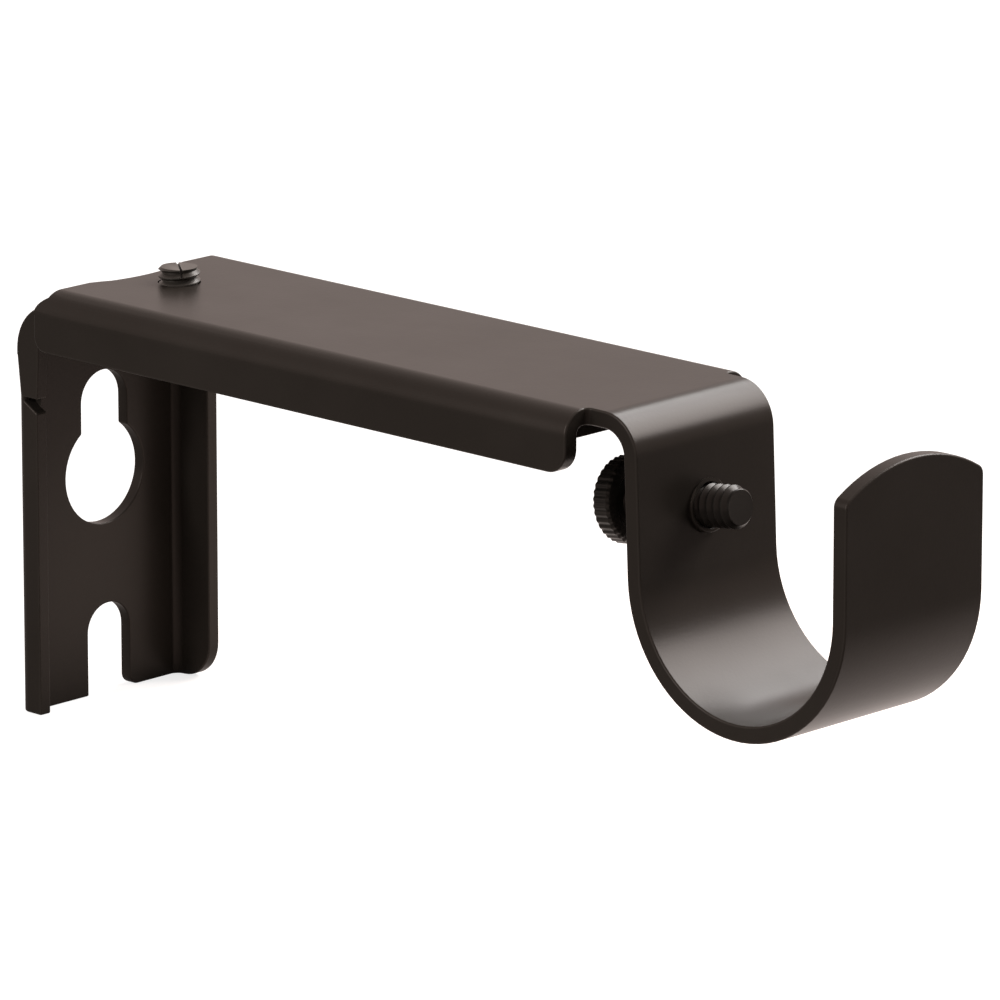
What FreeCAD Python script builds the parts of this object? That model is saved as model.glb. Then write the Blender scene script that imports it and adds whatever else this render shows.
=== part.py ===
import FreeCAD, Part
import math
import os

import Sketcher

# A curtain pole bracket of pressed steel: a wall bracket with keyhole and slot, an arm with a
# cup that slides on it, a slotted set screw that locks the arm, and a knurled thumb screw that
# holds the pole. Millimetres. +X points away from the wall, +Z points up. The origin lies on the
# wall, at the centre of the round part of the keyhole.

SIZES = [
    # steel thicknesses and the play between the sliding parts
    ("bracket_steel", 1.5),
    ("arm_steel", 1.85),
    ("side_play", 0.3),
    ("top_play", 0.3),
    ("thread_play", 0.05),
    # wall bracket
    ("plate_near_half", 11.9),
    ("plate_far_half", 12.3),
    ("plate_bottom", -25.1),
    ("plate_fold_outside", 1.5),
    ("plate_fold_inside", 1.0),
    ("plate_foot_corner", 4.2),
    ("near_lip_depth", 3.4),
    ("far_flange_depth", 6.6),
    ("fold_top", 19.0),
    ("relief_level", 10.5),
    ("leg_bend_inside", 4.0),
    ("leg_reach", 82.4),
    ("leg_corner", 2.0),
    ("keyhole_radius", 5.85),
    ("keyhole_neck_half", 3.4),
    ("keyhole_neck_top", 11.5),
    ("slot_half", 3.13),
    ("slot_aside", 0.35),
    ("slot_mouth_corner", 1.2),
    ("slot_top", -15.0),
    ("relief_root", 1.3),
    ("relief_gap", 0.4),
    ("relief_drop", 1.2),
    # arm and cup
    ("arm_half_width", 13.8),
    ("arm_depth", 6.7),
    ("arm_fold_outside", 2.7),
    ("arm_top", 23.3),
    ("arm_rear", 5.05),
    ("arm_front", 84.2),
    ("arm_front_corner", 2.6),
    ("arm_rear_corner", 1.6),
    ("web_setback", 1.7),
    ("web_corner_setback", 1.5),
    ("web_notch_half", 7.0),
    ("web_notch_deep", 1.35),
    ("strip_half_width", 10.45),
    ("strip_root_corner", 0.6),
    ("neck_bend_outside", 4.6),
    ("wall_lean", 2.4),
    ("cup_radius", 13.15),
    ("cup_centre_out", 104.75),
    ("cup_centre_up", 6.8),
    ("lip_top", 22.45),
    ("lip_arch_radius", 19.5),
    ("lip_corner", 1.2),
    # screws
    ("thread_radius", 2.3),
    ("set_screw_out", 13.5),
    ("set_screw_stands", 1.75),
    ("set_screw_slot", 0.5),
    ("set_screw_slot_deep", 0.9),
    ("set_screw_turn", 36.0),
    ("screw_chamfer", 0.35),
    ("thumb_level", 12.1),
    ("thumb_tilt", 7.0),
    ("thumb_reach", 4.65),
    ("thumb_stand_off", 7.9),
    ("thumb_head_radius", 4.8),
    ("thumb_head_long", 2.5),
    ("thumb_head_edge", 0.4),
    ("knurl_count", 30),
    ("knurl_deep", 0.3),
    ("collar_radius", 2.9),
    ("collar_stands", 0.45),
]

doc = FreeCAD.newDocument("pole_bracket")
sheet = doc.addObject("Spreadsheet::Sheet", "sizes")
for row, (alias, value) in enumerate(SIZES, start=1):
    sheet.set(f"A{row}", alias)
    sheet.set(f"B{row}", str(value))
    sheet.setAlias(f"B{row}", alias)
doc.recompute()


def size(name):
    return float(getattr(sheet, name))


def total(terms):
    """Add up terms such as (1, "arm_top"), (-1, "arm_steel"); a bare number counts as itself."""
    return sum(t if isinstance(t, (int, float)) else t[0] * size(t[1]) for t in terms)


def formula(terms):
    """The same sum as an expression on the sheet."""
    return " + ".join(str(t) if isinstance(t, (int, float)) else f"{t[0]} * sizes.{t[1]}" for t in terms)


def new_body(name):
    body = doc.addObject("PartDesign::Body", name)
    body.Label = name
    return body


def new_sketch(body, name, plane, offset=()):
    """A sketch on one of the body's own planes; offset holds (axis letter, terms) pairs."""
    sketch = body.newObject("Sketcher::SketchObject", name)
    face = next(f for f in body.Origin.OriginFeatures if f.Role == plane)
    sketch.AttachmentSupport = [(face, "")]
    sketch.MapMode = "FlatFace"
    for axis, terms in offset:
        sketch.setExpression(f"AttachmentOffset.Base.{axis}", formula(terms))
    return sketch


def bind(sketch, constraint, terms, degrees=False):
    index = sketch.addConstraint(constraint)
    text = formula(terms)
    sketch.setExpression(f"Constraints[{index}]", f"({text}) * 1 deg" if degrees else f"({text}) * 1 mm")
    return index


def box_outline(sketch, sides):
    """A closed outline of level and upright sides, in order round the shape.

    Each side is (direction, terms of its place, terms of the radius of the corner that ends it,
    or None for a sharp corner). Direction is "level" or "upright".
    """
    count = len(sides)
    places = [total(side[1]) for side in sides]
    corners = []
    for i in range(count):
        after = (i + 1) % count
        across, up = (places[after], places[i]) if sides[i][0] == "level" else (places[i], places[after])
        corners.append(FreeCAD.Vector(across, up, 0))
    ends = []
    for i in range(count):
        corner = corners[i]
        back = (corners[i - 1] - corner).normalize()
        ahead = (corners[(i + 1) % count] - corner).normalize()
        reach = total(sides[i][2]) if sides[i][2] else 0.0
        ends.append((corner + back * reach, corner + ahead * reach, corner + (back + ahead) * reach))
    lines = []
    for i in range(count):
        lines.append(sketch.addGeometry(Part.LineSegment(ends[i - 1][1], ends[i][0]), False))
    for i in range(count):
        kind, place, radius = sides[i]
        line, following = lines[i], lines[(i + 1) % count]
        if kind == "level":
            sketch.addConstraint(Sketcher.Constraint("Horizontal", line))
            bind(sketch, Sketcher.Constraint("DistanceY", -1, 1, line, 1, places[i]), place)
        else:
            sketch.addConstraint(Sketcher.Constraint("Vertical", line))
            bind(sketch, Sketcher.Constraint("DistanceX", -1, 1, line, 1, places[i]), place)
        if not radius:
            sketch.addConstraint(Sketcher.Constraint("Coincident", line, 2, following, 1))
            continue
        arrive, leave, centre = ends[i]
        arc, turns_left = add_arc(sketch, centre, arrive, leave)
        first, last = (1, 2) if turns_left else (2, 1)
        sketch.addConstraint(Sketcher.Constraint("Tangent", line, 2, arc, first))
        sketch.addConstraint(Sketcher.Constraint("Tangent", arc, last, following, 1))
        bind(sketch, Sketcher.Constraint("Radius", arc, total(radius)), radius)


def add_arc(sketch, centre, start, end):
    """The shorter arc from start to end; says whether it runs anticlockwise."""
    first = math.atan2(start.y - centre.y, start.x - centre.x)
    last = math.atan2(end.y - centre.y, end.x - centre.x)
    turns_left = (last - first) % (2 * math.pi) < math.pi
    low, high = (first, last) if turns_left else (last, first)
    circle = Part.Circle(centre, FreeCAD.Vector(0, 0, 1), (start - centre).Length)
    high = low + (high - low) % (2 * math.pi)
    return sketch.addGeometry(Part.ArcOfCircle(circle, low, high), False), turns_left


def add_circle(sketch, radius_terms):
    """A circle about the sketch's own origin."""
    centre = FreeCAD.Vector(0, 0, 0)
    circle = sketch.addGeometry(Part.Circle(centre, FreeCAD.Vector(0, 0, 1), total(radius_terms)), False)
    sketch.addConstraint(Sketcher.Constraint("Coincident", circle, 3, -1, 1))
    bind(sketch, Sketcher.Constraint("Radius", circle, total(radius_terms)), radius_terms)


def settle(body, feature):
    """Recompute with the feature as the body's last one and make sure that it holds."""
    body.Tip = feature
    doc.recompute()
    if "Invalid" in feature.State or feature.Shape.isNull() or not feature.Shape.isValid():
        raise RuntimeError(f"{feature.Name} fails: {feature.getStatusString()}")
    return feature


def extrude(kind, body, sketch, name, length_terms, midplane, reversed_way):
    doc.recompute()
    feature = body.newObject(kind, name)
    feature.Profile = sketch
    feature.Midplane = midplane
    feature.Reversed = reversed_way
    feature.setExpression("Length", formula(length_terms))
    return settle(body, feature)


def pad(body, sketch, name, length_terms, midplane=False, reversed_way=False):
    return extrude("PartDesign::Pad", body, sketch, name, length_terms, midplane, reversed_way)


def pocket(body, sketch, name, length_terms, midplane=False, reversed_way=False):
    """A cut; it must take something away."""
    before = body.Tip.Shape.Volume
    feature = extrude("PartDesign::Pocket", body, sketch, name, length_terms, midplane, reversed_way)
    if not 0 < feature.Shape.Volume < before:
        raise RuntimeError(f"{name} cuts nothing")
    return feature


def round_edges(body, name, radius_terms, wanted):
    """Fillet the edges of the body for which wanted(edge) holds."""
    base = body.Tip
    chosen = [f"Edge{i}" for i, edge in enumerate(base.Shape.Edges, start=1) if wanted(edge)]
    if not chosen:
        raise RuntimeError(f"{name} finds no edge")
    feature = body.newObject("PartDesign::Fillet", name)
    feature.Base = (base, chosen)
    feature.setExpression("Radius", formula(radius_terms))
    return settle(body, feature)


def runs_along(edge, axis):
    """Whether the edge is straight and parallel to an axis."""
    if edge.Curve.TypeId != "Part::GeomLine":
        return False
    start, end = edge.Vertexes[0].Point, edge.Vertexes[-1].Point
    return abs(abs((end - start).normalize().dot(axis)) - 1) < 1e-6


def close_to(value, target, within=0.02):
    return abs(value - target) < within


ALONG_X = FreeCAD.Vector(1, 0, 0)
ALONG_Y = FreeCAD.Vector(0, 1, 0)
ALONG_Z = FreeCAD.Vector(0, 0, 1)

LEG_TOP = [(1, "arm_top"), (-1, "arm_steel"), (-1, "top_play")]
LEG_BEND_OUTSIDE = [(1, "leg_bend_inside"), (1, "bracket_steel")]
ARM_INSIDE = [(1, "arm_half_width"), (-1, "arm_steel")]
LEG_HALF_WIDTH = ARM_INSIDE + [(-1, "side_play")]


def minus(terms):
    return [-t if isinstance(t, (int, float)) else (-t[0], t[1]) for t in terms]


# the level just under the bend, where the flat part of the leg's root starts
LEG_FOOT = LEG_TOP + minus(LEG_BEND_OUTSIDE) + [(-0.5, "bracket_steel")]


def folded_section(sketch, near_half, far_half, fold_outside):
    """The plate seen from above: a short near lip, the web against the wall, a deep far flange."""
    steel = (1, "bracket_steel")
    inside = minus([steel])
    box_outline(sketch, [
        ("level", minus(near_half), fold_outside),
        ("upright", [0.0], fold_outside),
        ("level", far_half, None),
        ("upright", [(1, "far_flange_depth")], None),
        ("level", far_half + inside, [(1, "plate_fold_inside")]),
        ("upright", [steel], [(1, "plate_fold_inside")]),
        ("level", minus(near_half) + [steel], None),
        ("upright", [(1, "near_lip_depth")], None),
    ])


# wall bracket: one pressed piece, plate below and leg forward
def build_wall_bracket():
    body = new_body("wall_bracket")
    plate = new_sketch(body, "plate_section", "XY_Plane", [("z", [(1, "plate_bottom")])])
    folded_section(plate, [(1, "plate_near_half")], [(1, "plate_far_half")], [(1, "plate_fold_outside")])
    pad(body, plate, "plate", [(1, "relief_level"), (-1, "plate_bottom")])

    root = new_sketch(body, "shoulder_root", "XY_Plane", [("z", [(1, "relief_level")])])
    folded_section(root, [(1, "plate_near_half")], [(1, "plate_far_half")], [(1, "plate_fold_outside")])
    crown = new_sketch(body, "shoulder_crown", "XY_Plane", [("z", LEG_FOOT)])
    folded_section(crown, LEG_HALF_WIDTH, LEG_HALF_WIDTH, [(0.2, "plate_fold_outside")])
    doc.recompute()
    shoulder = body.newObject("PartDesign::AdditiveLoft", "shoulder")
    shoulder.Profile = root
    shoulder.Sections = [crown]
    shoulder.Ruled = True
    settle(body, shoulder)

    cheeks = new_sketch(body, "cheek_section", "XY_Plane", [("z", LEG_FOOT)])
    folded_section(cheeks, LEG_HALF_WIDTH, LEG_HALF_WIDTH, [(0.2, "plate_fold_outside")])
    pad(body, cheeks, "cheeks", [(1, "fold_top")] + minus(LEG_FOOT))

    bend = new_sketch(body, "bend_trim_outline", "XZ_Plane")
    box_outline(bend, [
        ("upright", [0.0], LEG_BEND_OUTSIDE),
        ("level", LEG_TOP, None),
        ("upright", [(1, "far_flange_depth"), (1, "bracket_steel")], None),
        ("level", LEG_TOP + [(1, "bracket_steel")], None),
        ("upright", [(-1, "bracket_steel")], None),
        ("level", [(1, "relief_level")], None),
    ])
    pocket(body, bend, "bend_trim", [(4, "arm_half_width")], midplane=True)

    profile = new_sketch(body, "leg_profile", "XZ_Plane")
    box_outline(profile, [
        ("upright", [(1, "bracket_steel")], [(1, "leg_bend_inside")]),
        ("level", LEG_TOP + [(-1, "bracket_steel")], None),
        ("upright", [(1, "leg_reach")], None),
        ("level", LEG_TOP, LEG_BEND_OUTSIDE),
        ("upright", [0.0], None),
        ("level", LEG_FOOT, None),
    ])
    pad(body, profile, "leg", [(2, "arm_half_width"), (-2, "arm_steel"), (-2, "side_play")], midplane=True)

    keyhole = new_sketch(body, "keyhole_outline", "YZ_Plane")
    keyhole_outline(keyhole)
    pocket(body, keyhole, "keyhole", [(2, "far_flange_depth")], midplane=True)

    slot = new_sketch(body, "slot_outline", "YZ_Plane")
    box_outline(slot, [
        ("upright", [(1, "slot_aside"), (-1, "slot_half")], None),
        ("level", [(1, "plate_bottom"), (-1, "slot_half")], None),
        ("upright", [(1, "slot_aside"), (1, "slot_half")], [(0.98, "slot_half")]),
        ("level", [(1, "slot_top")], [(0.98, "slot_half")]),
    ])
    pocket(body, slot, "foot_slot", [(2, "far_flange_depth")], midplane=True)

    relief = new_sketch(body, "relief_outline", "XZ_Plane",
                        [("z", [(1, "plate_near_half"), (-1, "bracket_steel")])])
    relief_outline(relief)
    pocket(body, relief, "fold_relief", [(2, "bracket_steel")], reversed_way=True)

    bottom, front = size("plate_bottom"), size("far_flange_depth")
    round_edges(body, "flange_foot", [(1, "plate_foot_corner")],
                lambda e: runs_along(e, ALONG_Y) and close_to(e.CenterOfMass.z, bottom)
                and close_to(e.CenterOfMass.x, front))
    round_edges(body, "flange_shoulder", [(0.5, "plate_foot_corner")],
                lambda e: runs_along(e, ALONG_Y) and close_to(e.CenterOfMass.z, size("fold_top"))
                and close_to(e.CenterOfMass.x, front))
    round_edges(body, "slot_mouth", [(1, "slot_mouth_corner")],
                lambda e: runs_along(e, ALONG_X) and close_to(e.CenterOfMass.z, bottom)
                and close_to(e.CenterOfMass.y, total([(1, "slot_aside"), (1, "slot_half")])))
    round_edges(body, "leg_corners", [(1, "leg_corner")],
                lambda e: runs_along(e, ALONG_Z) and close_to(e.CenterOfMass.x, size("leg_reach")))
    return body


def keyhole_outline(sketch):
    """A round hole that takes the screw's head, with a narrower neck above it."""
    radius, half, top = size("keyhole_radius"), size("keyhole_neck_half"), size("keyhole_neck_top")
    join = math.sqrt(radius ** 2 - half ** 2)
    vector = FreeCAD.Vector
    turn = math.atan2(join, half)
    big = sketch.addGeometry(Part.ArcOfCircle(Part.Circle(vector(0, 0, 0), vector(0, 0, 1), radius),
                                              math.pi - turn, 2 * math.pi + turn), False)
    right = sketch.addGeometry(Part.LineSegment(vector(half, join, 0), vector(half, top - half, 0)), False)
    crown = sketch.addGeometry(Part.ArcOfCircle(Part.Circle(vector(0, top - half, 0), vector(0, 0, 1), half),
                                                0, math.pi), False)
    left = sketch.addGeometry(Part.LineSegment(vector(-half, top - half, 0), vector(-half, join, 0)), False)
    for constraint in (
        ("Coincident", big, 3, -1, 1),
        ("Coincident", big, 2, right, 1),
        ("Tangent", right, 2, crown, 1),
        ("Tangent", crown, 2, left, 1),
        ("Coincident", left, 2, big, 1),
        ("Vertical", right),
        ("PointOnObject", crown, 3, -2),
    ):
        sketch.addConstraint(Sketcher.Constraint(*constraint))
    bind(sketch, Sketcher.Constraint("Radius", big, radius), [(1, "keyhole_radius")])
    bind(sketch, Sketcher.Constraint("Radius", crown, half), [(1, "keyhole_neck_half")])
    bind(sketch, Sketcher.Constraint("DistanceY", -1, 1, crown, 3, top - half),
         [(1, "keyhole_neck_top"), (-1, "keyhole_neck_half")])


def relief_outline(sketch):
    """The wedge cut from the near lip, level above and sloping forward and down below."""
    root = [(1, "relief_root")]
    lip = [(1, "near_lip_depth")]
    level = [(1, "relief_level")]
    upper = level + [(-1, "relief_gap")]
    lower = upper + [(-1, "relief_drop")]
    beyond = lip + [(1, "bracket_steel")]
    polygon(sketch, [(root, level), (root, upper), (lip, lower), (beyond, lower), (beyond, level)])


def polygon(sketch, points):
    """A closed outline of straight sides through points, each given as (across terms, up terms)."""
    vectors = [FreeCAD.Vector(total(across), total(up), 0) for across, up in points]
    count = len(points)
    lines = [sketch.addGeometry(Part.LineSegment(vectors[i], vectors[(i + 1) % count]), False)
             for i in range(count)]
    for i, (across, up) in enumerate(points):
        sketch.addConstraint(Sketcher.Constraint("Coincident", lines[i - 1], 2, lines[i], 1))
        bind(sketch, Sketcher.Constraint("DistanceX", -1, 1, lines[i], 1, vectors[i].x), across)
        bind(sketch, Sketcher.Constraint("DistanceY", -1, 1, lines[i], 1, vectors[i].y), up)


# arm: a channel that slides on the leg, and the strip that bends down into the pole cup
def build_arm():
    body = new_body("arm")
    channel = new_sketch(body, "channel_section", "YZ_Plane", [("z", [(1, "arm_rear")])])
    outside = [(1, "arm_half_width")]
    foot = [(1, "arm_top"), (-1, "arm_depth")]
    inside_fold = [(1, "arm_fold_outside"), (-1, "arm_steel")]
    outside_fold = [(1, "arm_fold_outside")]
    box_outline(channel, [
        ("upright", minus(outside), None),
        ("level", foot, None),
        ("upright", minus(ARM_INSIDE), inside_fold),
        ("level", [(1, "arm_top"), (-1, "arm_steel")], inside_fold),
        ("upright", ARM_INSIDE, None),
        ("level", foot, None),
        ("upright", outside, outside_fold),
        ("level", [(1, "arm_top")], outside_fold),
    ])
    pad(body, channel, "channel", [(1, "arm_front"), (-1, "arm_rear")])

    strip = new_sketch(body, "strip_profile", "XZ_Plane")
    strip_profile(strip)
    pad(body, strip, "strip_and_cup", [(2, "strip_half_width")], midplane=True)

    round_edges(body, "strip_root", [(1, "strip_root_corner")],
                lambda e: runs_along(e, ALONG_Z) and close_to(e.CenterOfMass.x, size("arm_front"))
                and close_to(abs(e.CenterOfMass.y), size("strip_half_width")))

    rear = new_sketch(body, "web_rear_outline", "XY_Plane",
                      [("z", [(1, "arm_top"), (-1, "arm_fold_outside")])])
    web_rear_outline(rear)
    pocket(body, rear, "web_rear", [(2, "arm_fold_outside")], reversed_way=True)

    arch = new_sketch(body, "lip_arch_outline", "YZ_Plane", [("z", [(1, "cup_centre_out")])])
    lip_arch_outline(arch)
    pocket(body, arch, "lip_arch", [(2, "cup_radius")], reversed_way=True)

    foot_level = total(foot)
    round_edges(body, "front_corners", [(1, "arm_front_corner")],
                lambda e: runs_along(e, ALONG_Y) and close_to(e.CenterOfMass.z, foot_level)
                and close_to(e.CenterOfMass.x, size("arm_front")))
    round_edges(body, "rear_corners", [(1, "arm_rear_corner")],
                lambda e: runs_along(e, ALONG_Y) and close_to(e.CenterOfMass.z, foot_level)
                and close_to(e.CenterOfMass.x, size("arm_rear")))
    round_edges(body, "lip_corners", [(1, "lip_corner")],
                lambda e: runs_along(e, ALONG_X) and e.CenterOfMass.x > size("cup_centre_out")
                and e.CenterOfMass.z > size("cup_centre_up"))

    collar = tilted_sketch(body, "collar_outline")
    add_circle(collar, [(1, "collar_radius")])
    pad(body, collar, "collar", [(1, "collar_stands"), (1, "arm_steel")])

    thumb_hole = tilted_sketch(body, "thumb_hole_outline")
    add_circle(thumb_hole, [(1, "thread_radius"), (1, "thread_play")])
    pocket(body, thumb_hole, "thumb_hole", [(6, "arm_steel")], midplane=True)

    set_hole = new_sketch(body, "set_hole_outline", "XY_Plane",
                          [("x", [(1, "set_screw_out")]), ("z", [(1, "arm_top")])])
    add_circle(set_hole, [(1, "thread_radius"), (1, "thread_play")])
    pocket(body, set_hole, "set_hole", [(4, "arm_steel")], midplane=True)
    return body


def tilted_sketch(body, name):
    """A sketch square to the thumb screw, at the middle of the back wall's thickness."""
    wall = wall_out()
    sketch = new_sketch(body, name, "YZ_Plane", [("y", [(1, "thumb_level")])])
    sketch.AttachmentOffset = FreeCAD.Placement(
        FreeCAD.Vector(0, size("thumb_level"), 0),
        FreeCAD.Rotation(FreeCAD.Vector(-1, 0, 0), size("thumb_tilt")))
    sketch.setExpression("AttachmentOffset.Base.z", wall)
    sketch.setExpression("AttachmentOffset.Rotation.Angle", "sizes.thumb_tilt")
    return sketch


def wall_out():
    """Where the back wall's rear face is at the thumb screw's level."""
    reach = "sizes.cup_centre_out - (sizes.cup_radius + sizes.arm_steel) / cos(sizes.wall_lean)"
    return f"{reach} - (sizes.thumb_level - sizes.cup_centre_up) * tan(sizes.wall_lean)"


def strip_profile(sketch):
    """The strip from the side: level, bent down, a leaning wall, a half round cup, an upright lip."""
    steel, bend, cup = size("arm_steel"), size("neck_bend_outside"), size("cup_radius")
    top, out, up = size("arm_top"), size("cup_centre_out"), size("cup_centre_up")
    lean = math.radians(size("wall_lean"))
    vector = FreeCAD.Vector
    square = vector(-math.cos(lean), -math.sin(lean), 0)
    centre = vector(out, up, 0)
    inner_start = centre + square * cup
    along = vector(-math.sin(lean), math.cos(lean), 0)
    # the bend's centre lies one radius inside the wall's front face and one below the top
    rise = (top - bend - (inner_start + square * bend).y) / along.y
    bend_centre = inner_start + square * bend + along * rise
    tip = size("lip_top")
    start = size("arm_front") - steel

    def arc(middle, radius, low, high):
        circle = Part.Circle(middle, vector(0, 0, 1), radius)
        return sketch.addGeometry(Part.ArcOfCircle(circle, low, high), False)

    def line(a, b):
        return sketch.addGeometry(Part.LineSegment(a, b), False)

    upper = line(vector(start, top, 0), vector(bend_centre.x, top, 0))
    outer_bend = arc(bend_centre, bend, lean, math.pi / 2)
    front_face = line(bend_centre - square * bend, inner_start)
    cup_inside = arc(centre, cup, math.pi + lean, 2 * math.pi)
    lip_inside = line(vector(out + cup, up, 0), vector(out + cup, tip, 0))
    lip_end = line(vector(out + cup, tip, 0), vector(out + cup + steel, tip, 0))
    lip_outside = line(vector(out + cup + steel, tip, 0), vector(out + cup + steel, up, 0))
    cup_outside = arc(centre, cup + steel, math.pi + lean, 2 * math.pi)
    rear_face = line(centre + square * (cup + steel), bend_centre - square * (bend - steel))
    inner_bend = arc(bend_centre, bend - steel, lean, math.pi / 2)
    lower = line(vector(bend_centre.x, top - steel, 0), vector(start, top - steel, 0))
    root = line(vector(start, top - steel, 0), vector(start, top, 0))
    for constraint in (
        ("Tangent", upper, 2, outer_bend, 2),
        ("Tangent", outer_bend, 1, front_face, 1),
        ("Tangent", front_face, 2, cup_inside, 1),
        ("Tangent", cup_inside, 2, lip_inside, 1),
        ("Coincident", lip_inside, 2, lip_end, 1),
        ("Coincident", lip_end, 2, lip_outside, 1),
        ("Tangent", lip_outside, 2, cup_outside, 2),
        ("Tangent", cup_outside, 1, rear_face, 1),
        ("Tangent", rear_face, 2, inner_bend, 1),
        ("Tangent", inner_bend, 2, lower, 1),
        ("Coincident", lower, 2, root, 1),
        ("Coincident", root, 2, upper, 1),
        ("Coincident", outer_bend, 3, inner_bend, 3),
        ("Coincident", cup_inside, 3, cup_outside, 3),
        ("Horizontal", upper),
        ("Horizontal", lip_end),
        ("Horizontal", lower),
        ("Vertical", lip_inside),
        ("Vertical", lip_outside),
        ("Vertical", root),
    ):
        sketch.addConstraint(Sketcher.Constraint(*constraint))
    bind(sketch, Sketcher.Constraint("Radius", outer_bend, bend), [(1, "neck_bend_outside")])
    bind(sketch, Sketcher.Constraint("Radius", inner_bend, bend - steel),
         [(1, "neck_bend_outside"), (-1, "arm_steel")])
    bind(sketch, Sketcher.Constraint("Radius", cup_inside, cup), [(1, "cup_radius")])
    bind(sketch, Sketcher.Constraint("Radius", cup_outside, cup + steel), [(1, "cup_radius"), (1, "arm_steel")])
    bind(sketch, Sketcher.Constraint("DistanceX", -1, 1, cup_inside, 3, out), [(1, "cup_centre_out")])
    bind(sketch, Sketcher.Constraint("DistanceY", -1, 1, cup_inside, 3, up), [(1, "cup_centre_up")])
    bind(sketch, Sketcher.Constraint("DistanceY", -1, 1, upper, 1, top), [(1, "arm_top")])
    bind(sketch, Sketcher.Constraint("DistanceX", -1, 1, upper, 1, start), [(1, "arm_front"), (-1, "arm_steel")])
    bind(sketch, Sketcher.Constraint("DistanceY", -1, 1, lip_inside, 2, tip), [(1, "lip_top")])
    bind(sketch, Sketcher.Constraint("Angle", rear_face, math.pi / 2 + lean), [90, (1, "wall_lean")], degrees=True)


def web_rear_outline(sketch):
    """What the press takes off the rear of the web, seen from above: corners cut, middle scooped."""
    vector = FreeCAD.Vector
    rear, half, back = size("arm_rear"), size("arm_half_width"), size("web_setback")
    scoop, deep = size("web_notch_half"), size("web_notch_deep")
    fold = size("arm_fold_outside")
    edge = rear + back
    corner = rear + size("web_corner_setback")
    radius = (scoop ** 2 + deep ** 2) / (2 * deep)
    turn = math.asin(scoop / radius)
    points = [vector(edge, -scoop, 0), vector(edge, -half + fold, 0), vector(corner, -half + fold / 3, 0),
              vector(rear, -half, 0), vector(rear - back, -half, 0), vector(rear - back, half, 0),
              vector(rear, half, 0), vector(corner, half - fold / 3, 0), vector(edge, half - fold, 0),
              vector(edge, scoop, 0)]
    lines = [sketch.addGeometry(Part.LineSegment(points[i], points[i + 1]), False)
             for i in range(len(points) - 1)]
    circle = Part.Circle(vector(edge + deep - radius, 0, 0), vector(0, 0, 1), radius)
    arc = sketch.addGeometry(Part.ArcOfCircle(circle, -turn, turn), False)
    for i in range(len(lines) - 1):
        sketch.addConstraint(Sketcher.Constraint("Coincident", lines[i], 2, lines[i + 1], 1))
    sketch.addConstraint(Sketcher.Constraint("Coincident", lines[-1], 2, arc, 2))
    sketch.addConstraint(Sketcher.Constraint("Coincident", arc, 1, lines[0], 1))
    edge_terms = [(1, "arm_rear"), (1, "web_setback")]
    flat_terms = [(1, "arm_half_width"), (-1, "arm_fold_outside")]
    corner_terms = [(1, "arm_rear"), (1, "web_corner_setback")]
    bent_terms = [(1, "arm_half_width"), (-1 / 3, "arm_fold_outside")]
    places = [
        (lines[0], 1, edge_terms, [(-1, "web_notch_half")]),
        (lines[1], 1, edge_terms, minus(flat_terms)),
        (lines[2], 1, corner_terms, minus(bent_terms)),
        (lines[3], 1, [(1, "arm_rear")], [(-1, "arm_half_width")]),
        (lines[4], 1, [(1, "arm_rear"), (-1, "web_setback")], [(-1, "arm_half_width")]),
        (lines[5], 1, [(1, "arm_rear"), (-1, "web_setback")], [(1, "arm_half_width")]),
        (lines[6], 1, [(1, "arm_rear")], [(1, "arm_half_width")]),
        (lines[7], 1, corner_terms, bent_terms),
        (lines[8], 1, edge_terms, flat_terms),
        (lines[8], 2, edge_terms, [(1, "web_notch_half")]),
    ]
    for geometry, end, across, up in places:
        bind(sketch, Sketcher.Constraint("DistanceX", -1, 1, geometry, end, total(across)), across)
        bind(sketch, Sketcher.Constraint("DistanceY", -1, 1, geometry, end, total(up)), up)
    index = sketch.addConstraint(Sketcher.Constraint("Radius", arc, radius))
    sketch.setExpression(f"Constraints[{index}]",
                         "(pow(sizes.web_notch_half; 2) + pow(sizes.web_notch_deep; 2))"
                         " / (2 * sizes.web_notch_deep) * 1 mm")


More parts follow.
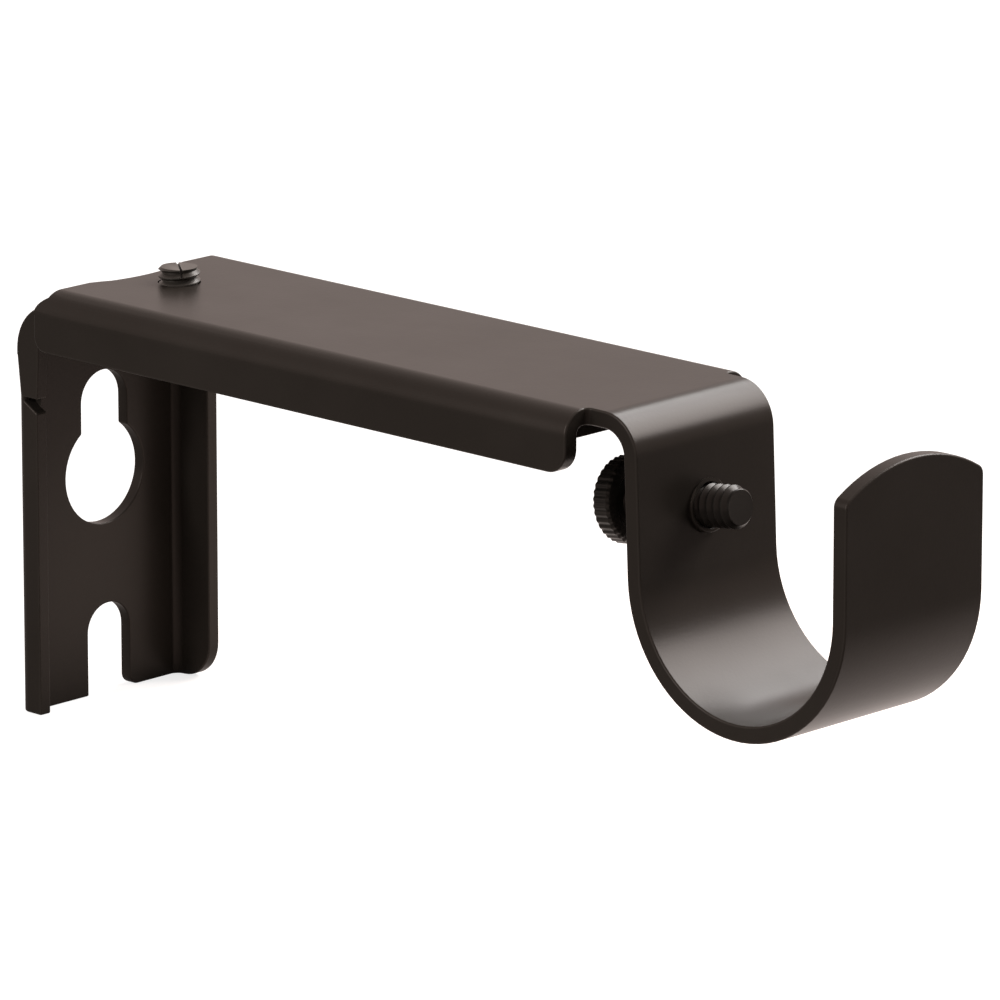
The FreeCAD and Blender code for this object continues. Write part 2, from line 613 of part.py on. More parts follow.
def lip_arch_outline(sketch):
    """What is cut off above the lip, so that its end is a shallow arch."""
    vector = FreeCAD.Vector
    half, top, radius = size("strip_half_width"), size("lip_top"), size("lip_arch_radius")
    over = half + size("arm_steel")
    turn = math.asin(over / radius)
    low = top - radius + radius * math.cos(turn)
    circle = Part.Circle(vector(0, top - radius, 0), vector(0, 0, 1), radius)
    arch = sketch.addGeometry(Part.ArcOfCircle(circle, math.pi / 2 - turn, math.pi / 2 + turn), False)
    left = sketch.addGeometry(Part.LineSegment(vector(-over, low, 0), vector(-over, top + over, 0)), False)
    cover = sketch.addGeometry(Part.LineSegment(vector(-over, top + over, 0), vector(over, top + over, 0)), False)
    right = sketch.addGeometry(Part.LineSegment(vector(over, top + over, 0), vector(over, low, 0)), False)
    for constraint in (
        ("Coincident", arch, 2, left, 1),
        ("Coincident", left, 2, cover, 1),
        ("Coincident", cover, 2, right, 1),
        ("Coincident", right, 2, arch, 1),
        ("Vertical", left),
        ("Vertical", right),
        ("Horizontal", cover),
        ("PointOnObject", arch, 3, -2),
    ):
        sketch.addConstraint(Sketcher.Constraint(*constraint))
    over_terms = [(1, "strip_half_width"), (1, "arm_steel")]
    bind(sketch, Sketcher.Constraint("Radius", arch, radius), [(1, "lip_arch_radius")])
    bind(sketch, Sketcher.Constraint("DistanceY", -1, 1, arch, 3, top - radius),
         [(1, "lip_top"), (-1, "lip_arch_radius")])
    bind(sketch, Sketcher.Constraint("DistanceX", -1, 1, left, 1, -over), minus(over_terms))
    bind(sketch, Sketcher.Constraint("DistanceX", -1, 1, right, 1, over), over_terms)
    bind(sketch, Sketcher.Constraint("DistanceY", -1, 1, cover, 1, top + over), [(1, "lip_top")] + over_terms)


# set screw: slotted and headless, it presses on the leg through the top of the arm
def build_set_screw():
    body = new_body("set_screw")
    section = new_sketch(body, "set_screw_section", "XZ_Plane")
    foot = LEG_TOP + [(1, "thread_play")]
    head = [(1, "arm_top"), (1, "set_screw_stands")]
    crest = [(1, "thread_radius")]
    inset = crest + [(-1, "screw_chamfer")]
    polygon(section, [
        ([0.0], foot),
        (inset, foot),
        (crest, foot + [(1, "screw_chamfer")]),
        (crest, head + [(-1, "screw_chamfer")]),
        (inset, head),
        ([0.0], head),
    ])
    revolve(body, section, "shank", "V_Axis")
    slot = new_sketch(body, "driver_slot_outline", "XY_Plane", [("z", head)])
    box_outline(slot, [
        ("upright", [(-2, "thread_radius")], None),
        ("level", [(-0.5, "set_screw_slot")], None),
        ("upright", [(2, "thread_radius")], None),
        ("level", [(0.5, "set_screw_slot")], None),
    ])
    pocket(body, slot, "driver_slot", [(1, "set_screw_slot_deep")])
    body.Placement.Rotation = FreeCAD.Rotation(-ALONG_Z, size("set_screw_turn"))
    body.setExpression("Placement.Base.x", "sizes.set_screw_out")
    body.setExpression("Placement.Rotation.Angle", "sizes.set_screw_turn")
    return body


# thumb screw: a knurled head behind the back wall, its end reaches into the cup
def build_thumb_screw():
    body = new_body("thumb_screw")
    section = new_sketch(body, "thumb_screw_section", "XZ_Plane")
    tip = [(1, "arm_steel"), (1, "thumb_reach")]
    face = [(-1, "thumb_stand_off")]
    back = face + [(-1, "thumb_head_long")]
    crest = [(1, "thread_radius")]
    rim = [(1, "thumb_head_radius")]
    edge = (1, "thumb_head_edge")
    chamfer = (1, "screw_chamfer")
    polygon(section, [
        (back, [0.0]),
        (tip, [0.0]),
        (tip, crest + minus([chamfer])),
        (tip + minus([chamfer]), crest),
        (face, crest),
        (face, rim + minus([edge])),
        (face + minus([edge]), rim),
        (back + [edge], rim),
        (back, rim + minus([edge])),
    ])
    revolve(body, section, "turned_screw", "H_Axis")

    groove = new_sketch(body, "knurl_groove", "YZ_Plane", [("z", face)])
    outer = rim + [(1, "knurl_deep")]
    polygon(groove, [
        ([0.0], rim + minus([(1, "knurl_deep")])),
        ([(1, "knurl_deep")], outer),
        ([(-1, "knurl_deep")], outer),
    ])
    cut = pocket(body, groove, "knurl_cut", [(2, "thumb_head_long")], midplane=True)
    knurl = body.newObject("PartDesign::PolarPattern", "knurl")
    knurl.Originals = [cut]
    knurl.Axis = (groove, ["N_Axis"])
    knurl.Angle = 360
    knurl.setExpression("Occurrences", "sizes.knurl_count")
    settle(body, knurl)
    body.Placement.Rotation = FreeCAD.Rotation(-ALONG_Y, size("thumb_tilt"))
    body.setExpression("Placement.Base.x", wall_out())
    body.setExpression("Placement.Base.z", "sizes.thumb_level")
    body.setExpression("Placement.Rotation.Angle", "sizes.thumb_tilt")
    return body


def revolve(body, sketch, name, axis):
    feature = body.newObject("PartDesign::Revolution", name)
    feature.Profile = sketch
    feature.ReferenceAxis = (sketch, [axis])
    feature.Angle = 360
    return settle(body, feature)


bodies = [build_wall_bracket(), build_arm(), build_set_screw(), build_thumb_screw()]
doc.recompute()

for item in doc.Objects:
    if "Invalid" in item.State or "Error" in item.State:
        raise RuntimeError(f"{item.Label} failed: {item.State}")

os.makedirs("parts", exist_ok=True)
for body in bodies:
    shape = body.Shape
    if shape.isNull() or not shape.isValid() or len(shape.Solids) != 1:
        raise RuntimeError(f"{body.Label} is not one valid solid")
    shape.exportStep(f"parts/{body.Label}.step")
    print(body.Label, "volume", round(shape.Volume, 1), "box", shape.BoundBox)
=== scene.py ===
import math

import bmesh
import bpy
from mathutils import Matrix, Vector


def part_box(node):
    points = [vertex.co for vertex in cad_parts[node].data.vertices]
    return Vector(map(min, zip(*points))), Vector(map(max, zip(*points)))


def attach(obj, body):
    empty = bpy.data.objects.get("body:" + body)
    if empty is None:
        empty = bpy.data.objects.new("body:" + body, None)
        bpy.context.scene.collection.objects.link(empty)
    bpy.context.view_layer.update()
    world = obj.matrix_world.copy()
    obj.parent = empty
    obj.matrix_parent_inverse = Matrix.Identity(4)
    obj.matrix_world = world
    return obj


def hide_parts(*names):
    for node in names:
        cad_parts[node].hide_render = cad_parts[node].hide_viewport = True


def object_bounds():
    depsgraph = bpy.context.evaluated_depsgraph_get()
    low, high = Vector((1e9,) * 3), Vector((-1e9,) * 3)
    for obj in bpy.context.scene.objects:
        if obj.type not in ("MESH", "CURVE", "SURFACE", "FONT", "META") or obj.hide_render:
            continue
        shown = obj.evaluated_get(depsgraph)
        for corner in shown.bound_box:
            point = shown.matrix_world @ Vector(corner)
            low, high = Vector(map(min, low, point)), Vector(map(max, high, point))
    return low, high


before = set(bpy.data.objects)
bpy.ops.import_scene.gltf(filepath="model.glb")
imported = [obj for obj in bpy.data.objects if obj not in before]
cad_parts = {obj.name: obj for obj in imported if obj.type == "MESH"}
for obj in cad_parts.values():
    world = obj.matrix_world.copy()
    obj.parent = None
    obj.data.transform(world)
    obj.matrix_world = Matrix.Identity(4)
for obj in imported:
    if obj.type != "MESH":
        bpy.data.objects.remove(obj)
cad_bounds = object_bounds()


# Wall bracket: a blank of thin steel, pierced with the keyhole and the foot slot, folded along both
# sides and bent forward at the top into the leg that carries the arm. It is tumbled, so its edges
# are soft, and powder coated in dark bronze all over.

MM = 0.001
BRACKET_EDGE = 0.18 * MM
EDGE_STEPS = 3
CUT_EDGE = math.radians(32)
ROOM_FOR_EDGE = 1.3
MERGE_WITHIN = 0.01 * MM
ONE_PLANE = math.radians(1.0)
ON_CUT = 1e-7
FLAT_WITHIN = math.cos(math.radians(0.4))
SMOOTH_WITHIN = math.cos(math.radians(40))
WIDER_BY = 2.5


def reach_from(edge, face):
    """How far a face reaches from one of its own edges."""
    start = edge.verts[0].co
    along = (edge.verts[1].co - start).normalized()
    return max((vert.co - start).cross(along).length for vert in face.verts)


def within(box, edge):
    """Whether an edge lies in a box, given as its lowest and highest corners."""
    low, high = box
    return all(low[k] < vert.co[k] < high[k] for vert in edge.verts for k in range(3))


def softened_copy(cad_node, name, edge_radius, parted_at=(), square=()):
    """A copy of a pressed piece with its cut edges rounded over, but for those in a square box.

    Long faces are parted at the given places along X. The rounded faces are marked for the finish.
    """
    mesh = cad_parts[cad_node].data.copy()
    mesh.name = name
    bm = bmesh.new()
    bm.from_mesh(mesh)
    bmesh.ops.remove_doubles(bm, verts=bm.verts, dist=MERGE_WITHIN)
    bmesh.ops.dissolve_degenerate(bm, edges=bm.edges, dist=MERGE_WITHIN)
    bmesh.ops.dissolve_limit(bm, angle_limit=ONE_PLANE, verts=bm.verts, edges=bm.edges)
    for place in parted_at:
        bmesh.ops.bisect_plane(bm, geom=bm.verts[:] + bm.edges[:] + bm.faces[:], dist=ON_CUT,
                               plane_co=(place, 0, 0), plane_no=(1, 0, 0))
    room = ROOM_FOR_EDGE * edge_radius
    cut_edges = [edge for edge in bm.edges
                 if edge.is_manifold and edge.is_convex and edge.calc_face_angle() > CUT_EDGE
                 and min(reach_from(edge, face) for face in edge.link_faces) > room
                 and not any(within(box, edge) for box in square)]
    rounded = bm.faces.layers.float.new("rounded_edge")
    bevelled = bmesh.ops.bevel(bm, geom=cut_edges, offset=edge_radius, offset_type="OFFSET",
                               segments=EDGE_STEPS, affect="EDGES", profile=0.5, material=-1,
                               clamp_overlap=False)
    for face in bevelled["faces"]:
        face[rounded] = 1.0
    for face in bm.faces:
        face.smooth = True
    normals = flat_first_normals(bm)
    bm.to_mesh(mesh)
    bm.free()
    mesh.normals_split_custom_set(normals)
    return mesh


def flat_clusters(bm):
    """Sort faces into flats: gives the number of each face's flat, and the area of each flat."""
    cluster_of = {}
    areas = []
    for seed in bm.faces:
        if seed in cluster_of:
            continue
        cluster_of[seed] = len(areas)
        waiting = [seed]
        area = 0.0
        while waiting:
            face = waiting.pop()
            area += face.calc_area()
            for edge in face.edges:
                for other in edge.link_faces:
                    if other not in cluster_of and other.normal.dot(seed.normal) > FLAT_WITHIN:
                        cluster_of[other] = cluster_of[face]
                        waiting.append(other)
        areas.append(area)
    return cluster_of, areas


def flat_first_normals(bm):
    """A normal for each corner of each face: the widest flat's there, or the mean along a curve.

    Faces that meet there at a sharp angle don't count.
    """
    cluster_of, areas = flat_clusters(bm)
    normals = []
    for face in bm.faces:
        for vert in face.verts:
            smooth = [other for other in vert.link_faces
                      if other is face or other.normal.dot(face.normal) > SMOOTH_WITHIN]
            widest = max(areas[cluster_of[other]] for other in smooth)
            used = {cluster_of[other]: other.normal for other in smooth
                    if areas[cluster_of[other]] > widest / WIDER_BY}
            normals.append(sum(used.values(), Vector()).normalized())
    return normals


def add_piece(mesh, name, body, material, nodes):
    """Put a mesh in the scene as a piece that rides on a body and stands for its CAD nodes."""
    piece = bpy.data.objects.new(name, mesh)
    bpy.context.collection.objects.link(piece)
    mesh.materials.clear()
    mesh.materials.append(material)
    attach(piece, body)
    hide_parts(*nodes)


MIX_FIRST, MIX_SECOND, MIX_RESULT = 6, 7, 2


def shader_group(name, inputs, outputs):
    """A node group with named values in and out; returns it with its two end nodes."""
    group = bpy.data.node_groups.new(name, "ShaderNodeTree")
    for label, kind, value in inputs:
        socket = group.interface.new_socket(label, in_out="INPUT", socket_type=kind)
        socket.default_value = value
    for label, kind in outputs:
        group.interface.new_socket(label, in_out="OUTPUT", socket_type=kind)
    return group, group.nodes.new("NodeGroupInput"), group.nodes.new("NodeGroupOutput")


def node(tree, kind, links=(), **settings):
    """Add a node, set its properties and join sockets given as (input, source socket or value)."""
    made = tree.nodes.new(kind)
    for key, value in settings.items():
        setattr(made, key, value)
    for place, source in links:
        if isinstance(source, bpy.types.NodeSocket):
            tree.links.new(source, made.inputs[place])
        else:
            made.inputs[place].default_value = source
    return made


def mixed(tree, factor, first, second):
    """A colour socket between two colours or colour sockets, by a factor."""
    mix = node(tree, "ShaderNodeMix", [("Factor", factor), (MIX_FIRST, first), (MIX_SECOND, second)],
               data_type="RGBA")
    return mix.outputs[MIX_RESULT]


def spread(tree, value, from_range, to_range=(0.0, 1.0)):
    """A value socket moved from one range to another and kept inside it."""
    moved = node(tree, "ShaderNodeMapRange", [
        ("Value", value), ("From Min", from_range[0]), ("From Max", from_range[1]),
        ("To Min", to_range[0]), ("To Max", to_range[1])])
    return moved.outputs["Result"]


def calculated(tree, operation, *terms):
    """The value socket of a Math node."""
    return node(tree, "ShaderNodeMath", list(enumerate(terms)), operation=operation).outputs[0]


NOISE_MIDDLE = (0.3, 0.7)
NOISE_WIDE = (0.2, 0.8)


def make_grain_group():
    """Fine pimples of a sprayed or plated surface, with slow changes of tone."""
    group, given, result = shader_group(
        "surface grain",
        [("Fine Scale", "NodeSocketFloat", 2500.0), ("Slow Scale", "NodeSocketFloat", 60.0)],
        [("Height", "NodeSocketFloat"), ("Tone", "NodeSocketFloat")])
    place = node(group, "ShaderNodeTexCoord")
    fine = node(group, "ShaderNodeTexNoise", [
        ("Vector", place.outputs["Object"]), ("Scale", given.outputs["Fine Scale"]),
        ("Detail", 2.0), ("Roughness", 0.55)])
    slow = node(group, "ShaderNodeTexNoise", [
        ("Vector", place.outputs["Object"]), ("Scale", given.outputs["Slow Scale"]),
        ("Detail", 3.0), ("Roughness", 0.6)])
    group.links.new(fine.outputs["Fac"], result.inputs["Height"])
    group.links.new(slow.outputs["Fac"], result.inputs["Tone"])
    return group


def make_edge_group():
    """Where a plating has worn thin on the outside corners of a screw."""
    group, given, result = shader_group(
        "thin on corners",
        [("Start", "NodeSocketFloat", 0.53), ("Spread", "NodeSocketFloat", 0.12)],
        [("Mask", "NodeSocketFloat")])
    shape = node(group, "ShaderNodeNewGeometry")
    end = calculated(group, "ADD", given.outputs["Start"], given.outputs["Spread"])
    mask = spread(group, shape.outputs["Pointiness"], (given.outputs["Start"], end))
    group.links.new(mask, result.inputs["Mask"])
    return group


def make_thin_coat_and_highlight_group():
    """Lighter on rounded edges: partly where a sprayed coat has drawn thin over an edge that was
    rounded before coating, partly a painted highlight along it.
    """
    group, given, result = shader_group(
        "thin coat and painted highlight on rounded edges",
        [("Amount", "NodeSocketFloat", 0.8)],
        [("Mask", "NodeSocketFloat")])
    place = node(group, "ShaderNodeTexCoord")
    patches = node(group, "ShaderNodeTexNoise", [
        ("Vector", place.outputs["Object"]), ("Scale", 180.0), ("Detail", 2.0)])
    rounded = node(group, "ShaderNodeAttribute", attribute_name="rounded_edge")
    uneven = spread(group, patches.outputs["Fac"], NOISE_MIDDLE, (0.5, given.outputs["Amount"]))
    mask = calculated(group, "MULTIPLY", uneven, rounded.outputs["Fac"])
    group.links.new(mask, result.inputs["Mask"])
    return group


grain_group = make_grain_group()
edge_group = make_edge_group()
thin_coat_and_highlight_group = make_thin_coat_and_highlight_group()

GLOSS_DRIFT = 0.04
PIMPLE_HEIGHT = 0.02 * MM


def finish_material(name, dark, light, corner, roughness, bump, fine_scale, specular, tint,
                    corner_group=edge_group):
    """A thin finish: tone drifting from dark to light, corners of their own, a fine grain."""
    material = bpy.data.materials.new(name)
    material.use_nodes = True
    tree = material.node_tree
    surface = tree.nodes["Principled BSDF"]
    surface.inputs["Specular IOR Level"].default_value = specular
    surface.inputs["Specular Tint"].default_value = (*tint, 1)
    grain = node(tree, "ShaderNodeGroup", node_tree=grain_group)
    grain.inputs["Fine Scale"].default_value = fine_scale
    corners = node(tree, "ShaderNodeGroup", node_tree=corner_group)
    tone = spread(tree, grain.outputs["Tone"], NOISE_MIDDLE)
    drift = mixed(tree, tone, (*dark, 1), (*light, 1))
    edged = mixed(tree, corners.outputs["Mask"], drift, (*corner, 1))
    rough = spread(tree, grain.outputs["Tone"], NOISE_WIDE,
                   (roughness - GLOSS_DRIFT, roughness + GLOSS_DRIFT))
    relief = node(tree, "ShaderNodeBump", [
        ("Height", grain.outputs["Height"]), ("Strength", bump), ("Distance", PIMPLE_HEIGHT)])
    tree.links.new(edged, surface.inputs["Base Color"])
    tree.links.new(rough, surface.inputs["Roughness"])
    tree.links.new(relief.outputs["Normal"], surface.inputs["Normal"])
    return material


# Its rounded edges take the lighter corner colour: partly a thinner coat there, partly a painted
# highlight.
bronze_coat = finish_material(
    "dark bronze powder coat", dark=(0.0165, 0.0132, 0.0108), light=(0.0195, 0.0158, 0.0130),
    corner=(0.028, 0.0232, 0.0195), roughness=0.31, bump=0.3, fine_scale=2600.0, specular=0.13,
    tint=(1.0, 0.84, 0.76), corner_group=thin_coat_and_highlight_group)

bracket_mesh = softened_copy("wall_bracket", "wall bracket", BRACKET_EDGE)
add_piece(bracket_mesh, "wall_bracket_coated", "wall_bracket", bronze_coat,
          ["wall_bracket"])


# Arm: thicker steel, a channel folded down over the leg, its top carried on as a narrower strip that
# is bent down and rolled into the pole cup. Pierced for both screws and coated like the bracket.

ARM_EDGE = 0.22 * MM
BEHIND_SET_SCREW = 0.0085
FOLD_REAR = ((0.004, -0.014, 0.02055), (0.0072, 0.014, 0.0234))
SET_SCREW_MOUTH = ((0.011, -0.0025, 0.021), (0.016, 0.0025, 0.0234))

arm_mesh = softened_copy("arm", "arm", ARM_EDGE, parted_at=[BEHIND_SET_SCREW],
                         square=[FOLD_REAR, SET_SCREW_MOUTH])
add_piece(arm_mesh, "arm_coated", "arm", bronze_coat, ["arm"])


# Set screw: a short headless screw cut from threaded rod and sawn across for a screwdriver, its
# plating worn on the corners. It stands a little proud of the arm and bears on the leg.

worn_screw = finish_material(
    "worn screw plating", dark=(0.018, 0.015, 0.0125), light=(0.028, 0.024, 0.0205),
    corner=(0.10, 0.088, 0.078), roughness=0.36, bump=0.3, fine_scale=3500.0, specular=0.22,
    tint=(1.0, 0.88, 0.80))

SET_SCREW_RADIUS = 2.3 * MM
SET_SCREW_PITCH = 0.85 * MM
SET_SCREW_THREAD = 0.4 * MM
SET_SCREW_CHAMFER = 0.3 * MM
SET_SCREW_SLOT = 0.26 * MM
SET_SCREW_SLOT_DEEP = 0.9 * MM
SET_SCREW_TURN = math.radians(-38)
THREAD_STEPS = 40
THREAD_PROFILE = ((False, 0.0), (False, 0.14), (True, 0.46), (True, 0.60), (False, 1.0))
TURNS_BELOW = 2
THREAD_MERGE = 0.005 * MM
SAWN_MERGE = 0.004 * MM
STEEP = math.radians(35)


def threaded_rod(radius, pitch, depth, length, chamfer):
    """A rod up from the origin with a right-hand thread, both ends cut square and chamfered.

    Each corner of the thread is on its crest or at its root, at a share of the pitch.
    """
    bm = bmesh.new()
    root = radius - depth
    points = [bm.verts.new((radius if crest else root, 0, (along - TURNS_BELOW) * pitch))
              for crest, along in THREAD_PROFILE]
    edges = [bm.edges.new(pair) for pair in zip(points, points[1:])]
    turns = TURNS_BELOW + math.ceil(length / pitch) + 1
    bmesh.ops.spin(bm, geom=points + edges, cent=(0, 0, 0), axis=(0, 0, 1),
                   dvec=(0, 0, pitch / THREAD_STEPS), angle=turns * 2 * math.pi,
                   steps=turns * THREAD_STEPS, use_merge=False, use_normal_flip=False,
                   use_duplicate=False)
    bmesh.ops.remove_doubles(bm, verts=bm.verts, dist=THREAD_MERGE)
    for height, outward in ((0.0, -1.0), (length, 1.0)):
        cut = bmesh.ops.bisect_plane(bm, geom=bm.verts[:] + bm.edges[:] + bm.faces[:], dist=ON_CUT,
                                     plane_co=(0, 0, height), plane_no=(0, 0, outward),
                                     clear_outer=True)
        rim = [part for part in cut["geom_cut"] if isinstance(part, bmesh.types.BMEdge)]
        bmesh.ops.holes_fill(bm, edges=rim, sides=0)
    bmesh.ops.recalc_face_normals(bm, faces=bm.faces)
    for vert in bm.verts:
        near_end = min(vert.co.z, length - vert.co.z)
        out = math.hypot(vert.co.x, vert.co.y)
        limit = radius - max(0.0, chamfer - near_end)
        if out > limit:
            vert.co.x *= limit / out
            vert.co.y *= limit / out
    return bm


def saw_across(bm, top, width, depth, reach):
    """Saw a driver slot across the top of a rod, along X."""
    rod_mesh = bpy.data.meshes.new("unsawn rod")
    bm.to_mesh(rod_mesh)
    saw = bmesh.new()
    bmesh.ops.create_cube(saw, size=1.0)
    bmesh.ops.scale(saw, vec=(2 * reach, width, 2 * depth), verts=saw.verts)
    bmesh.ops.translate(saw, vec=(0, 0, top), verts=saw.verts)
    saw_mesh = bpy.data.meshes.new("saw cut")
    saw.to_mesh(saw_mesh)
    saw.free()
    rod, blade = (bpy.data.objects.new(mesh.name, mesh) for mesh in (rod_mesh, saw_mesh))
    for holder in (rod, blade):
        bpy.context.collection.objects.link(holder)
    cut = rod.modifiers.new("sawn", "BOOLEAN")
    cut.operation = "DIFFERENCE"
    cut.solver = "EXACT"
    cut.object = blade
    sawn = bpy.data.meshes.new_from_object(rod.evaluated_get(bpy.context.evaluated_depsgraph_get()))
    bm.clear()
    bm.from_mesh(sawn)
    for leftover in (rod, blade):
        bpy.data.objects.remove(leftover)
    for leftover in (rod_mesh, saw_mesh, sawn):
        bpy.data.meshes.remove(leftover)
    bmesh.ops.remove_doubles(bm, verts=bm.verts, dist=SAWN_MERGE)


def placed_mesh(bm, name, matrix):
    """The finished mesh in its place on the bracket, smooth but for its steep edges."""
    bmesh.ops.transform(bm, matrix=matrix, verts=bm.verts)
    for face in bm.faces:
        face.smooth = True
    for edge in bm.edges:
        edge.smooth = not edge.is_manifold or edge.calc_face_angle() < STEEP
    mesh = bpy.data.meshes.new(name)
    bm.to_mesh(mesh)
    bm.free()
    return mesh


set_low, set_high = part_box("set_screw")
set_length = set_high.z - set_low.z
set_bm = threaded_rod(SET_SCREW_RADIUS, SET_SCREW_PITCH, SET_SCREW_THREAD, set_length,
                      SET_SCREW_CHAMFER)
saw_across(set_bm, set_length, SET_SCREW_SLOT, SET_SCREW_SLOT_DEEP, reach=2 * SET_SCREW_RADIUS)
set_foot = Matrix.Translation(((set_low.x + set_high.x) / 2, 0, set_low.z))
set_place = set_foot @ Matrix.Rotation(SET_SCREW_TURN, 4, "Z")
add_piece(placed_mesh(set_bm, "set screw", set_place), "set_screw_slotted", "set_screw",
          worn_screw, ["set_screw"])


# Thumb screw: turned from one bar, a thin knurled head and a long threaded shank that passes through
# the back wall of the cup. Plated dark with a slight shine, a little brighter on the knurl's teeth.

black_steel = finish_material(
    "dark screw plating", dark=(0.010, 0.0085, 0.0072), light=(0.015, 0.0128, 0.011),
    corner=(0.034, 0.029, 0.025), roughness=0.30, bump=0.25, fine_scale=3500.0, specular=0.15,
    tint=(1.0, 0.88, 0.80))

THUMB_AT_WALL = Vector((89.515, 0.0, 12.1)) * MM
THUMB_TILT = math.radians(7)
THUMB_SHANK_RADIUS = 2.3 * MM
THUMB_PITCH = 1.0 * MM
THUMB_THREAD = 0.45 * MM
THUMB_CHAMFER = 0.45 * MM
THUMB_TIP = 6.5 * MM
THUMB_FACE = -7.9 * MM
THUMB_BACK = -10.4 * MM
THUMB_RIM = 4.65 * MM
SHANK_IN_HEAD = 0.6 * MM
BACK_DISH = ((0.0, 0.35), (2.3, 0.35), (2.65, 0.0))
RIM_ROUNDING = ((0.75, 0.0), (0.25, 0.12), (0.0, 0.42))
FACE_DISH = ((3.3, 0.0), (3.1, 0.2), (0.0, 0.2))
KNURL_TEETH = 36
KNURL_STEPS = 8
KNURL_DEEP = 0.13 * MM
KNURL_REACH = 0.3 * MM
HEAD_MERGE = 0.002 * MM


def knurled_head():
    """The head turned about +Z from its stepped profile, then knurled by drawing in its rim.

    Its dishes are given in mm as radius and depth, its rim's rounding as steps in from both faces.
    """
    profile = [(out * MM, THUMB_BACK + deep * MM) for out, deep in BACK_DISH]
    profile += [(THUMB_RIM - inward * MM, THUMB_BACK + up * MM) for inward, up in RIM_ROUNDING]
    profile += [(THUMB_RIM, 0.5 * (THUMB_BACK + THUMB_FACE))]
    profile += [(THUMB_RIM - inward * MM, THUMB_FACE - down * MM)
                for inward, down in reversed(RIM_ROUNDING)]
    profile += [(out * MM, THUMB_FACE - deep * MM) for out, deep in FACE_DISH]
    bm = bmesh.new()
    points = [bm.verts.new((out, 0, up)) for out, up in profile]
    edges = [bm.edges.new(pair) for pair in zip(points, points[1:])]
    bmesh.ops.spin(bm, geom=points + edges, cent=(0, 0, 0), axis=(0, 0, 1), angle=2 * math.pi,
                   steps=KNURL_TEETH * KNURL_STEPS, use_merge=True, use_normal_flip=False,
                   use_duplicate=False)
    bmesh.ops.remove_doubles(bm, verts=bm.verts, dist=HEAD_MERGE)
    bmesh.ops.recalc_face_normals(bm, faces=bm.faces)
    for vert in bm.verts:
        out = math.hypot(vert.co.x, vert.co.y)
        if out > THUMB_RIM - KNURL_REACH:
            wave = 0.5 - 0.5 * math.cos(KNURL_TEETH * math.atan2(vert.co.y, vert.co.x))
            scale = 1 - KNURL_DEEP * wave / out
            vert.co.x *= scale
            vert.co.y *= scale
    return bm


thumb_place = Matrix.Translation(THUMB_AT_WALL) @ Matrix.Rotation(math.pi / 2 - THUMB_TILT, 4, "Y")
shank_start = THUMB_FACE - SHANK_IN_HEAD
shank_bm = threaded_rod(THUMB_SHANK_RADIUS, THUMB_PITCH, THUMB_THREAD, THUMB_TIP - shank_start,
                        THUMB_CHAMFER)
bmesh.ops.translate(shank_bm, vec=(0, 0, shank_start), verts=shank_bm.verts)
add_piece(placed_mesh(shank_bm, "thumb screw shank", thumb_place), "thumb_screw_shank",
          "thumb_screw", black_steel, ["thumb_screw"])
add_piece(placed_mesh(knurled_head(), "thumb screw head", thumb_place), "thumb_screw_head",
          "thumb_screw", black_steel, ["thumb_screw"])


# Floor, light and camera: a pale floor just under the bracket's foot, a broad soft light above the
# far side with a dimmer end, a weaker one on the near side, and the photograph's own view.

FLOOR_RADIUS = 6.0
FLOOR_SIDES = 96
FLOOR_BELOW = 0.05 * MM
FLOOR_COLOUR = (1.0, 0.86, 0.80, 1)
PALE_DISC_MIDDLE = (0.075, 0.045)
PALE_DISC_EDGE = (0.055, 0.098)
PALE_DISC_LEVEL = (0.75, 0.18)
SEEN_GLOW = 1.1
SEEN_GLOW_LESS = -0.8
MIRRORED_GLOW = 0.25
WHITE = (1, 1, 1, 1)
BLACK = (0, 0, 0, 1)


def mirrored_rays(tree, path):
    """1 for a ray that has been mirrored or has passed through glass."""
    return calculated(tree, "MAXIMUM", path.outputs["Is Glossy Ray"],
                      path.outputs["Is Transmission Ray"])


def pale_floor(level):
    """A large round floor that shows white to the camera and still takes soft shadows.

    The pieces mirror a pale disc of it below the cup. Past the disc it is darker, and glows more
    towards the camera.
    """
    bm = bmesh.new()
    bmesh.ops.create_circle(bm, cap_ends=True, cap_tris=False, segments=FLOOR_SIDES,
                            radius=FLOOR_RADIUS)
    bmesh.ops.translate(bm, verts=bm.verts, vec=(0, 0, level))
    mesh = bpy.data.meshes.new("floor")
    bm.to_mesh(mesh)
    bm.free()
    floor = bpy.data.objects.new("floor", mesh)
    bpy.context.collection.objects.link(floor)
    material = bpy.data.materials.new("pale floor")
    material.use_nodes = True
    tree = material.node_tree
    surface = tree.nodes["Principled BSDF"]
    surface.inputs["Roughness"].default_value = 0.9
    surface.inputs["Specular IOR Level"].default_value = 0.0
    surface.inputs["Emission Color"].default_value = WHITE
    path = node(tree, "ShaderNodeLightPath")
    spot = node(tree, "ShaderNodeTexCoord")
    away = node(tree, "ShaderNodeVectorMath", [
        (0, spot.outputs["Object"]), (1, (*PALE_DISC_MIDDLE, level))], operation="DISTANCE")
    whiteness = spread(tree, away.outputs["Value"], PALE_DISC_EDGE, PALE_DISC_LEVEL)
    seen = calculated(tree, "MULTIPLY_ADD", whiteness, SEEN_GLOW_LESS, SEEN_GLOW)
    faint = calculated(tree, "MULTIPLY", whiteness, MIRRORED_GLOW)
    returned = calculated(tree, "MULTIPLY", faint, mirrored_rays(tree, path))
    glow = calculated(tree, "MULTIPLY_ADD", path.outputs["Is Camera Ray"], seen, returned)
    tree.links.new(mixed(tree, whiteness, BLACK, FLOOR_COLOUR), surface.inputs["Base Color"])
    tree.links.new(glow, surface.inputs["Emission Strength"])
    mesh.materials.append(material)


ROOM_LIGHT = 0.32
ROOM_SEEN = 1.0
ROOM_MIRRORED = (0.88, 0.73, 0.68, 1)


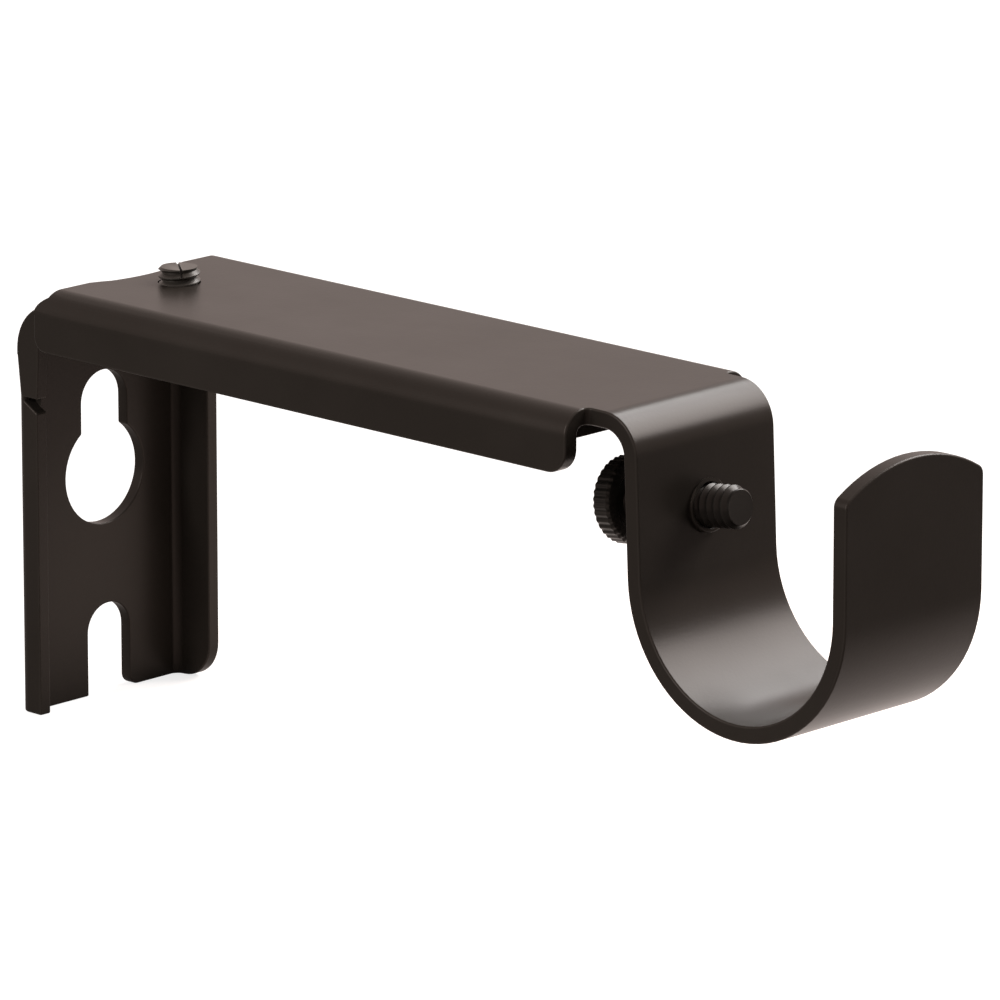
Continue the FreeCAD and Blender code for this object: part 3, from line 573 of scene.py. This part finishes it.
def white_room():
    """A world that is white to the camera, a warm grey in reflections, and weaker as a light."""
    world = bpy.data.worlds.new("white room")
    bpy.context.scene.world = world
    world.use_nodes = True
    tree = world.node_tree
    background = tree.nodes["Background"]
    path = node(tree, "ShaderNodeLightPath")
    seen = calculated(tree, "MAXIMUM", path.outputs["Is Camera Ray"], mirrored_rays(tree, path))
    strength = spread(tree, seen, (0.0, 1.0), (ROOM_LIGHT, ROOM_SEEN))
    colour = mixed(tree, path.outputs["Is Glossy Ray"], WHITE, ROOM_MIRRORED)
    tree.links.new(colour, background.inputs["Color"])
    tree.links.new(strength, background.inputs["Strength"])


def soft_light(name, place, target, width, height, power):
    """An oblong soft box aimed at a point."""
    lamp = bpy.data.lights.new(name, "AREA")
    lamp.shape = "RECTANGLE"
    lamp.size = width
    lamp.size_y = height
    lamp.energy = power
    holder = bpy.data.objects.new(name, lamp)
    bpy.context.collection.objects.link(holder)
    aim = (Vector(target) - Vector(place)).to_track_quat("-Z", "Y")
    holder.matrix_world = Matrix.Translation(place) @ aim.to_matrix().to_4x4()


pale_floor(cad_bounds[0][2] - FLOOR_BELOW)
white_room()

MIDDLE = (0.055, 0.0, 0.005)
soft_light("key soft box", (0.27, 0.63, 0.55), MIDDLE, width=0.66, height=0.40, power=12.6)
soft_light("dimmer end of key", (-0.18, 0.63, 0.57), MIDDLE, width=0.26, height=0.36, power=2.7)
soft_light("side soft box", (-0.15, -0.85, 0.35), MIDDLE, width=0.5, height=0.5, power=6.5)

CAMERA_AT = Vector((0.6976, -0.6607, 0.2446))
VIEW_TOWARDS = Vector((-0.6714, 0.6976, -0.2503))
LENS = 324.2
SENSOR_WIDTH = 36.0
NEAREST_SEEN = 0.05

camera_data = bpy.data.cameras.new("photograph view")
camera_data.lens = LENS
camera_data.sensor_width = SENSOR_WIDTH
camera_data.clip_start = NEAREST_SEEN
camera = bpy.data.objects.new("photograph view", camera_data)
bpy.context.collection.objects.link(camera)
bpy.context.scene.camera = camera
view_turn = VIEW_TOWARDS.to_track_quat("-Z", "Y").to_matrix().to_4x4()
camera.matrix_world = Matrix.Translation(CAMERA_AT) @ view_turn

bpy.context.scene.view_settings.view_transform = "Standard"
